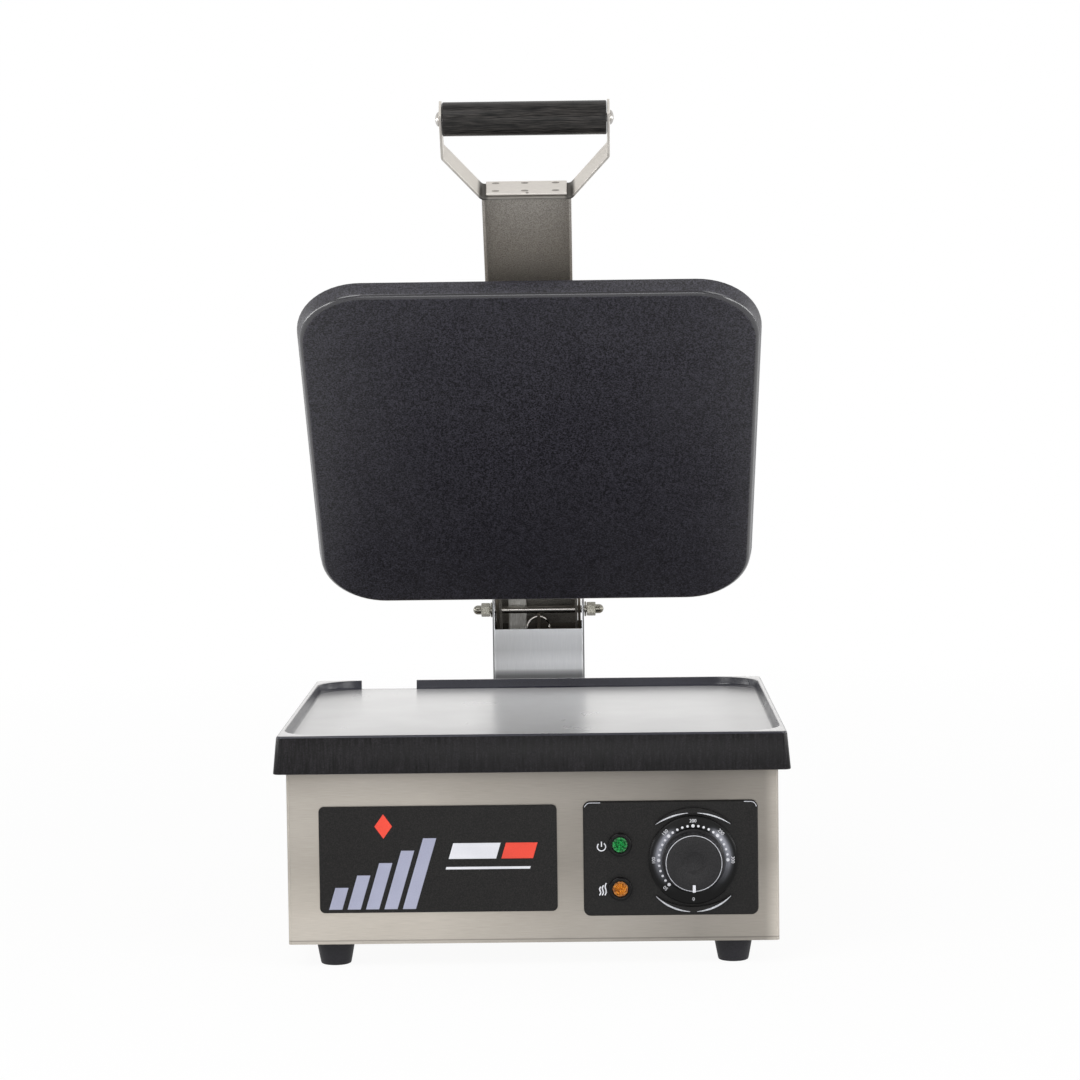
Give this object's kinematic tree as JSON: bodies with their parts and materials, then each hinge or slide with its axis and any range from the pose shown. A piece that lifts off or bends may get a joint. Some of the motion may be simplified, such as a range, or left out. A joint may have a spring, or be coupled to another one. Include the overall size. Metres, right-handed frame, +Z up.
{
  "type": "sandwich maker",
  "caption": "Countertop sandwich maker with a box base, a rimmed lower plate, a hinged upper plate on a spring-aided arm, a bail handle and a dial panel.",
  "frame": {"origin": "centre of the bounding box on the table top, under the feet, with the lid open as in the picture", "axes": "+X to the right as seen from the front, +Y to the back where the hinge is, +Z up; the dial faces -Y"},
  "size_m": [0.294, 0.4082, 0.4934],
  "materials": {
    "case_steel": "brushed stainless sheet",
    "lid_steel": "satin stainless sheet",
    "plate_iron": "blackened and finely ground, slightly glossy",
    "plated_steel": "bright plated steel",
    "heater_steel": "heat-darkened steel",
    "panel_black": "finely textured black",
    "knob_black": "satin black moulding",
    "grip_black": "black moulding with fine lengthwise marks",
    "foot_rubber": "matt black rubber",
    "lens_green": "clear green, faceted",
    "lens_amber": "clear amber, faceted",
    "terminal_white": "white moulding",
    "sleeve_white": "woven glass-fibre sleeve",
    "insulation_white": "felted ceramic fibre"
  },
  "bodies": {
    "base": {"foot_front_left": "foot_rubber", "foot_front_right": "foot_rubber", "foot_rear_left": "foot_rubber", "foot_rear_right": "foot_rubber", "foot_screw_front_left": "plated_steel", "foot_screw_front_right": "plated_steel", "foot_screw_rear_left": "plated_steel", "foot_screw_rear_right": "plated_steel", "base_shell": "case_steel", "base_floor": "case_steel", "back_panel": "case_steel", "lower_plate": "plate_iron", "lower_element": "heater_steel", "element_clamp_plate": "case_steel", "heat_shield": "case_steel", "thermostat_body": "panel_black", "thermostat_bulb": "plated_steel", "control_fascia": "panel_black", "dial_ring": "panel_black", "lamp_bezel_power": "panel_black", "lamp_bezel_heat": "panel_black", "lamp_lens_power": "lens_green", "lamp_lens_heat": "lens_amber", "badge_plate": "panel_black", "cable_gland": "panel_black", "gland_lock_nut": "panel_black", "terminal_block": "terminal_white", "earth_stud": "plated_steel", "hinge_post": "case_steel", "stop_pin": "plated_steel", "counterbalance_spring": "plated_steel", "spring_anchor": "case_steel", "wire_sleeve_lower": "sleeve_white", "post_bolt_front_left": "plated_steel", "post_bolt_front_right": "plated_steel", "post_bolt_rear_left": "plated_steel", "post_bolt_rear_right": "plated_steel", "axle_rod": "plated_steel", "axle_washer_left": "plated_steel", "axle_washer_right": "plated_steel", "axle_nut_left": "plated_steel", "axle_nut_right": "plated_steel"},
    "dial_knob": {"knob": "knob_black", "thermostat_shaft": "plated_steel"},
    "lid": {"arm_channel": "lid_steel", "hinge_side_plate_left": "lid_steel", "hinge_side_plate_right": "lid_steel", "spring_hook": "lid_steel", "wire_sleeve_upper": "sleeve_white", "handle_strap": "lid_steel", "handle_weld_plate": "lid_steel", "handle_grip": "grip_black", "handle_screw_left": "plated_steel", "handle_screw_right": "plated_steel", "float_pin": "plated_steel"},
    "plate": {"upper_plate": "plate_iron", "upper_element": "heater_steel", "upper_insulation": "insulation_white", "upper_cover": "case_steel", "float_bracket": "case_steel"}
  },
  "joints": [
    {"name": "lid_hinge", "type": "hinge", "parent": "base", "child": "lid", "pos_m": [0, 0.15202, 0.1749], "axis": [-1, 0, 0], "range_deg": [-45.3, 44.7], "deforming": ["counterbalance_spring"]},
    {"name": "plate_float", "type": "hinge", "parent": "lid", "child": "plate", "pos_m": [0, 0.01403, 0.31577], "axis": [1, 0, 0], "range_deg": [-1.2, 0]},
    {"name": "knob_turn", "type": "hinge", "parent": "base", "child": "dial_knob", "pos_m": [0.0911, -0.19187, 0.0611], "axis": [0, 1, 0], "range_deg": [0, 270]}
  ]
}
